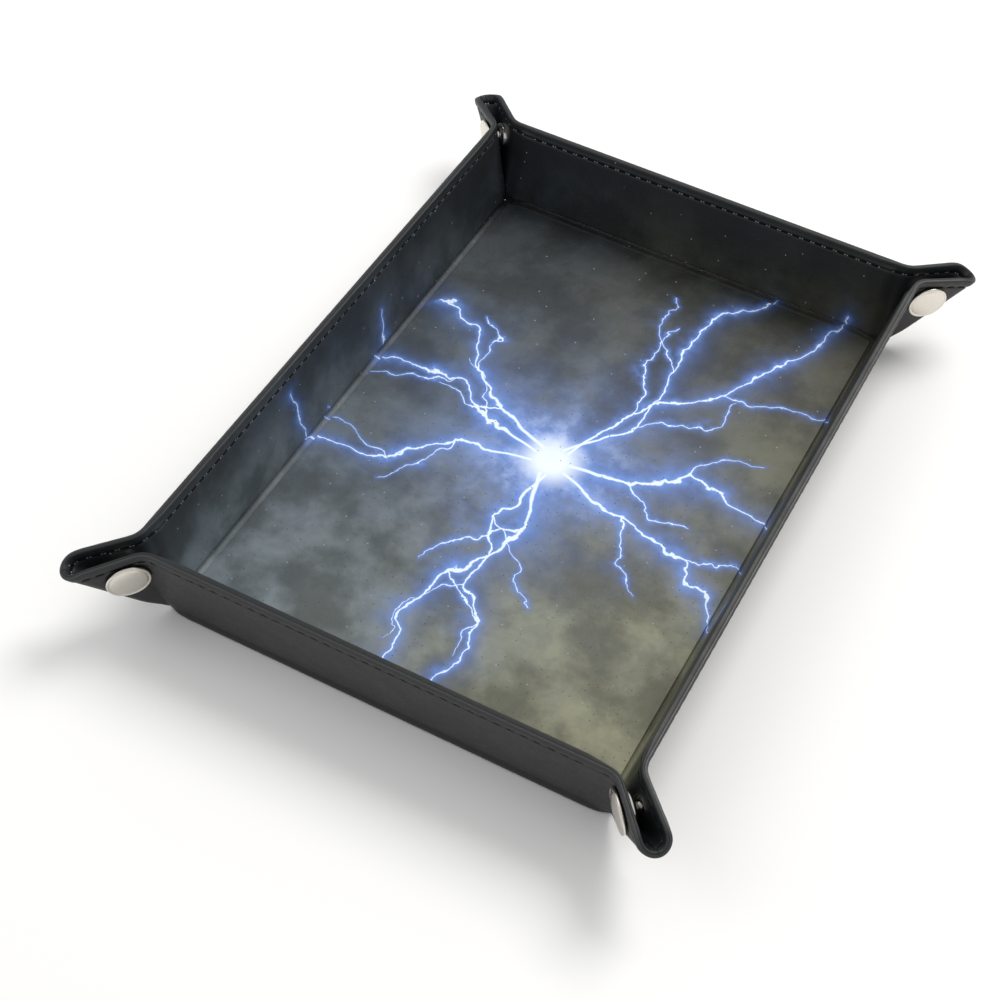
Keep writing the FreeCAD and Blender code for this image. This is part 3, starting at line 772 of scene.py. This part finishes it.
def greyboard():
    """Recycled board: grey-brown pulp with darker and paler fibres."""
    material, tree, shader = new_material("greyboard")
    place = node(tree, "ShaderNodeTexCoord").outputs["Object"]
    pulp = noise(tree, place, 900.0, 5.0, 0.65).outputs["Fac"]
    fibres = noise(tree, vector(tree, "MULTIPLY", place, (700.0, 4200.0, 4200.0)), 1.0, 2.0).outputs["Fac"]
    base = mix(tree, step(tree, pulp, 0.3, 0.7), (0.20, 0.175, 0.15), (0.33, 0.30, 0.26))
    base = mix(tree, step(tree, fibres, 0.62, 0.72), base, (0.48, 0.45, 0.40))
    tree.links.new(base, shader.inputs["Base Color"])
    tree.links.new(step(tree, pulp, 0.2, 0.8, 0.78, 0.92), shader.inputs["Roughness"])
    bump(tree, shader, pulp, 0.08 * MM, 0.8)
    return material


def thread(name, dark, pale, shine):
    """Bonded polyester thread: fine filaments with a slight shine."""
    material, tree, shader = new_material(name)
    place = node(tree, "ShaderNodeTexCoord").outputs["Object"]
    filaments = noise(tree, place, 9000.0, 2.0, 0.6).outputs["Fac"]
    tree.links.new(mix(tree, step(tree, filaments, 0.3, 0.7), dark, pale), shader.inputs["Base Color"])
    tree.links.new(step(tree, filaments, 0.2, 0.8, 0.55, 0.75), shader.inputs["Roughness"])
    shader.inputs["Specular IOR Level"].default_value = shine
    bump(tree, shader, filaments, 0.03 * MM, 0.8)
    return material


def studio_paper():
    """The pale floor under the object."""
    material, tree, shader = new_material("studio_paper")
    place = node(tree, "ShaderNodeTexCoord").outputs["Object"]
    tone = noise(tree, place, 3.0, 2.0).outputs["Fac"]
    tree.links.new(mix(tree, tone, (0.90, 0.895, 0.885), (0.93, 0.925, 0.915)), shader.inputs["Base Color"])
    shader.inputs["Roughness"].default_value = 0.75
    return material


cover_material = cover_leather()
lining_material = lining_print()
cap_metal = nickel("cap_nickel", (0.74, 0.70, 0.63), 0.26)
snap_metal = nickel("snap_nickel", (0.76, 0.74, 0.70), 0.18)
board_material = greyboard()
thread_material = thread("black_thread", (0.0015, 0.0015, 0.0018), (0.005, 0.005, 0.0055), 0.12)
needle_material = thread("needle_hole", (0.24, 0.27, 0.28), (0.50, 0.54, 0.55), 0.4)


# ---------------------------------------------------------------- pieces

def place_between(piece, near, far, start, end):
    """Bakes the piece's transform into its mesh, where it stays."""
    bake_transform(piece)


def make_floor():
    """The floor's cover and lining."""
    for layer, material in (("cover", cover_material), ("lining", lining_material)):
        spans = []
        for half in (HALF_WIDTH, HALF_LENGTH):
            edge = half - FOLD_ZONE
            fine = np.array([0, 0.35, 0.7, 1.05, 1.4, 1.8, 2.4, 3.2, 5, 8]) * MM
            middle = np.linspace(-(edge - 8 * MM), edge - 8 * MM, int(half / (2.2 * MM)))
            spans.append(np.concatenate((fine[:-1] - edge, middle, (edge - fine[:-1])[::-1])))
        across, along = np.meshgrid(*spans, indexing="ij")
        inner = np.minimum(HALF_WIDTH - np.abs(across), HALF_LENGTH - np.abs(along))
        corner = np.hypot(HALF_WIDTH - np.abs(across), HALF_LENGTH - np.abs(along))
        rise = smooth((inner - BOARD_MARGIN + BOARD_RAMP) / BOARD_RAMP)
        if layer == "cover":
            low, high = 0 * inner, BOND - BOND_GAP + 0 * inner
        else:
            low = BOND + BOND_GAP + BOARD * rise
            high = LAMINATE + BOARD * rise + fold_shape(inner)
        thin = smooth(corner / CORNER_THIN)
        points = [np.stack((across, along, BOND + (level - BOND) * thin), -1) for level in (low, high)]
        piece = shell(f"floor_{layer}_skin", *points, points[0], 0 * inner, material)
        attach(piece, "floor")
        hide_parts(f"floor_{layer}")


def make_wall(wall):
    """A wall's cover and lining, from the floor's edge to the rim, with its stitches."""
    along, out, inset = wall_grid(wall)
    for layer, material in (("cover", cover_material), ("lining", lining_material)):
        piece = skin_piece(f"{wall.name}_wall_{layer}_skin", wall, layer, along, out, inset, material)
        start = wall.stand(0.0, -FOLD_START, BOND)
        end = wall.stand(0.0, FOLD_END, BOND)
        place_between(piece, "floor", wall.body, start, end)
        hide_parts(f"{wall.name}_wall_{layer}")
    pitch = wall.seam_pitch()
    past = (SLOPE - STITCH_INSET) * math.tan(EAR.leg_angle - LEG_ZONE)
    count = int((wall.half + past) / pitch - 0.5)
    travel = (np.arange(-count, count) + 0.5) * pitch
    make_stitches(wall, 1, f"{wall.name}_wall_stitches", travel, ("floor", wall.body), (start, end))


def make_ear(wall, side):
    """One half of an ear: its leg and its tip, with their stitches, and the cap of its snap."""
    corner = wall.corners[side]
    first, bend = EAR.leg_angle - LEG_ZONE, EAR.tip_angle - TIP_EARLY

    def on_ray(angle):
        """A place in this direction from the floor corner, between the layers."""
        along, out = BLEND_REACH * math.sin(angle), BLEND_REACH * math.cos(angle)
        return wall.stand(side * (wall.half + along), out, BOND)

    tip_from = on_ray(TIP_START)
    tip_to = tip_from + (on_ray(EAR_END) - tip_from) / TIP_SHARE
    leg_ends = (on_ray(first), on_ray(EAR.leg_angle + LEG_ZONE))
    parts = (("leg", first, bend, 44, wall.body, corner.leg_body, leg_ends),
             ("tip", bend, EAR_END, 30, corner.leg_body, corner.tip_body, (tip_from, tip_to)))
    for part, low, high, steps, near, far, ends in parts:
        along, out, inset = ear_grid(wall, side, low, high, steps)
        for layer, material in (("cover", cover_material), ("lining", lining_material)):
            piece = skin_piece(f"{corner.name}_{part}_{layer}_skin", wall, layer, along, out, inset, material)
            place_between(piece, near, far, *ends)
            if part == "leg":
                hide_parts(f"{corner.name}_leg_{layer}")
            elif layer == "cover":
                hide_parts(f"{corner.name}_tip")
        pitch = wall.seam_pitch()
        every = (np.arange(int((wall.half + 2 * SLOPE) / pitch)) + 0.5) * pitch
        along, out = seam_place(wall, every, 0 * every)
        angle = np.arctan2(along - wall.half, out)
        every = every[(angle >= low - 1e-9) & (angle < high)]
        make_stitches(wall, side, f"{corner.name}_{part}_stitches", every, (near, far), ends)
    make_cap(wall, side)


def rope(place, travel, across, height):
    """One stitch on each travel: rings of points round a thread that dives in at both ends."""
    rings = np.linspace(-1, 1, 13)[None, :, None]
    around = np.linspace(0, 2 * math.pi, 11)[:-1][None, None, :]
    plies = 1 + 0.13 * np.cos(2 * around - 9.0 * rings)
    radius = THREAD_RADIUS * np.sqrt(np.maximum(1 - rings ** 6, 0.02)) * plies
    lift_up = THREAD_RADIUS * (0.62 - 1.7 * rings ** 4)
    shift = travel[:, None, None] + rings * STITCH_LENGTH / 2
    return place(shift + 0 * radius, across[:, None, None] * rings + radius * 1.1 * np.cos(around),
                 height + lift_up + radius * np.sin(around))


def dimple(place, travel, across, height):
    """A raised pale collar round each needle hole."""
    rings = np.array([0.42, 0.36, 0.2, 0.04])[None, :, None] * MM
    around = np.linspace(0, 2 * math.pi, 11)[:-1][None, None, :]
    level = np.array([-0.10, 0.02, 0.05, 0.055])[None, :, None] * MM
    shift = travel[:, None, None] + rings * np.cos(around)
    return place(shift, across[:, None, None] + rings * 0.8 * np.sin(around), height + level + 0 * around)


def tube_faces(count, rings, around, first):
    """Quads between the rings of count tubes, and their two ends."""
    index = first + np.arange(count * rings * around).reshape(count, rings, around)
    following = np.roll(index, -1, 2)
    quads = np.stack((index[:, :-1], following[:, :-1], following[:, 1:], index[:, 1:]), -1)
    ends = np.concatenate((index[:, 0, ::-1], index[:, -1]))
    return quads.reshape(-1, 4).tolist() + ends.tolist()


def make_stitches(wall, side, name, travel, bodies, ends):
    """The stitches at these travels, on both faces of the sheet, as one piece."""
    random = np.random.default_rng(sum(name.encode()))
    across = random.uniform(-0.10, 0.10, len(travel)) * MM
    vertices, faces, kinds = [], [], []

    def add(points, kind):
        made = tube_faces(*points.shape[:3], sum(len(block) for block in vertices))
        vertices.append(points.reshape(-1, 3))
        faces.extend(made)
        kinds.extend([kind] * len(made))

    for layer, sign in (("cover", -1), ("lining", 1)):
        def place(shift, aside, height, layer=layer, sign=sign):
            shift, aside, height = np.broadcast_arrays(shift, aside, height)
            along, out = seam_place(wall, np.abs(shift), aside)
            along = along * side * np.sign(shift)
            surface = levels(wall, layer, along, out, STITCH_INSET + 0 * out)[0 if sign < 0 else 1]
            return lift(wall, along, out, surface + sign * height)

        add(rope(place, travel, across, 0.0), 0)
        if sign > 0:
            for hole in (-0.5, 0.5):
                add(dimple(place, travel + hole * STITCH_LENGTH * 1.02, across * hole, 0.0), 1)
    piece = new_mesh(name, np.concatenate(vertices), faces, thread_material)
    piece.data.materials.append(needle_material)
    piece.data.polygons.foreach_set("material_index", kinds)
    place_between(piece, *bodies, *ends)
    return piece


def lathe(name, profile, centre, wall, side, material, count=96):
    """A turned piece on an ear leg: a profile of radius and level round the snap's axis."""
    turn = np.linspace(0, 2 * math.pi, count + 1)[:-1]
    radius, level = np.array(profile).T
    ring = centre[None, None, :] + np.stack((radius[:, None] * np.cos(turn), radius[:, None] * np.sin(turn),
                                             np.repeat(level[:, None], count, 1)), -1)
    points = wall.leg_frame(side, ring.reshape(-1, 3))
    piece = new_mesh(name, points, tube_faces(1, len(profile), count, 0), material)
    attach(piece, wall.corners[side].leg_body)
    return piece


CAP_ROLL = 0.55 * MM        # radius of the cap's rolled edge
CAP_EDGE = 1.3 * MM         # top of the rolled edge above the cover
CAP_GROOVE = 0.16 * MM      # depth of the groove inside it


def make_cap(wall, side):
    """The domed cap of a snap, with a rolled edge that stands just off the cover."""
    node_name = f"{wall.corners[side].name}_cap"
    corners = np.array([vertex.co for vertex in frame["nodes"][node_name].data.vertices])
    flat = wall.leg_frame(side, corners, lay_flat=True)
    low, high = flat.min(0), flat.max(0)
    centre = np.array([(low[0] + high[0]) / 2, (low[1] + high[1]) / 2, 0])
    radius, height = (high[0] - low[0]) / 2, -low[2]
    roll = CAP_ROLL
    share = np.linspace(0.002, 1, 40)
    groove = CAP_GROOVE * np.exp(-((1 - share) * (radius - 2 * roll) / (0.4 * MM)) ** 2)
    profile = [(part * (radius - 1.7 * roll), -height + (height - CAP_EDGE) * part ** 2.6 + dip)
               for part, dip in zip(share, groove)]
    for angle in np.linspace(-0.25, 1, 20)[1:] * math.pi:
        profile.append((radius - roll + roll * math.sin(angle), -CAP_EDGE + roll * (1 - math.cos(angle))))
    under = min(2 * roll - CAP_EDGE, -0.04 * MM)
    profile += [(radius - 1.2 * MM, under), (radius - 1.5 * MM, under + 0.02 * MM), (2.4 * MM, -0.02 * MM),
                (0.05 * MM, -0.02 * MM)]
    piece = lathe(f"{node_name}_dome", profile, centre, wall, side, cap_metal)
    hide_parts(node_name)


def finish_nodes():
    """Materials of the CAD nodes that show."""
    for name, thing in frame["nodes"].items():
        if thing.hide_render:
            continue
        thing.data.materials.clear()
        thing.data.materials.append(board_material if name.endswith("board") else snap_metal)
        thing.data.shade_smooth()


# ---------------------------------------------------------------- stage

GROUND_HALF = 6.0       # metres
# Softboxes: name, place in metres, width, watts and colour.
LIGHTS = [("key", (0.30, 0.85, 1.25), 0.75, 15.0, (1.0, 0.99, 0.97)),
          ("fill", (-0.9, -0.5, 0.9), 0.9, 3.0, (0.96, 0.98, 1.0))]
SKY_STRENGTH = 0.66


def make_stage():
    """The ground, the sky and the lights."""
    mesh = bpy.data.meshes.new("ground")
    corners = [(x * GROUND_HALF, y * GROUND_HALF, 0) for x, y in ((-1, -1), (1, -1), (1, 1), (-1, 1))]
    mesh.from_pydata(corners, [], [(0, 1, 2, 3)])
    ground = bpy.data.objects.new("ground", mesh)
    bpy.context.scene.collection.objects.link(ground)
    mesh.materials.append(studio_paper())
    world = bpy.data.worlds.new("world")
    bpy.context.scene.world = world
    world.use_nodes = True
    tree = world.node_tree
    place = node(tree, "ShaderNodeTexCoord").outputs["Generated"]
    height = node(tree, "ShaderNodeSeparateXYZ", {0: place}).outputs[2]
    sky = mix(tree, step(tree, height, -0.1, 0.85), (0.72, 0.73, 0.75), (1.0, 1.0, 1.0))
    tree.links.new(sky, tree.nodes["Background"].inputs["Color"])
    tree.nodes["Background"].inputs["Strength"].default_value = SKY_STRENGTH
    bpy.context.scene.view_settings.view_transform = "Standard"
    for name, place, size, power, tint in LIGHTS:
        light = bpy.data.lights.new(name, "AREA")
        light.size = size
        light.energy = power
        light.color = tint
        lamp = bpy.data.objects.new(name, light)
        bpy.context.scene.collection.objects.link(lamp)
        lamp.location = place
        lamp.rotation_euler = (Vector((0, 0, 0)) - Vector(place)).to_track_quat("-Z", "Y").to_euler()


CAMERA_AZIMUTH = math.radians(24.02)
CAMERA_ELEVATION = math.radians(48.81)
CAMERA_ROLL = math.radians(4.72)
CAMERA_LENS = 69.2
# Where it looks, from the floor's front left corner, and its distance, in widths of the floor.
CAMERA_TARGET = (0.4524, 0.5899)
CAMERA_DISTANCE = 4.1536


def make_camera():
    """The main view: direction, distance and roll about the line of sight."""
    width = 2 * HALF_WIDTH
    across, along = CAMERA_TARGET
    target = Vector((across * width - HALF_WIDTH, along * width - HALF_LENGTH, BOND * 2))
    distance = CAMERA_DISTANCE * width
    level = math.cos(CAMERA_ELEVATION)
    east, north = math.sin(CAMERA_AZIMUTH), math.cos(CAMERA_AZIMUTH)
    back = Vector((east * level, -north * level, math.sin(CAMERA_ELEVATION)))
    right = Vector((north, east, 0))
    up = back.cross(right)
    turned_right = right * math.cos(CAMERA_ROLL) + up * math.sin(CAMERA_ROLL)
    turned_up = up * math.cos(CAMERA_ROLL) - right * math.sin(CAMERA_ROLL)
    lens = bpy.data.cameras.new("camera")
    lens.lens = CAMERA_LENS
    lens.clip_start = 0.01
    camera = bpy.data.objects.new("camera", lens)
    bpy.context.scene.collection.objects.link(camera)
    matrix = Matrix((turned_right, turned_up, back)).transposed().to_4x4()
    matrix.translation = target + back * distance
    camera.matrix_world = matrix
    bpy.context.scene.camera = camera


make_camera()
make_stage()
make_floor()
for standing in WALLS.values():
    make_wall(standing)
    for end in (-1, 1):
        make_ear(standing, end)
finish_nodes()
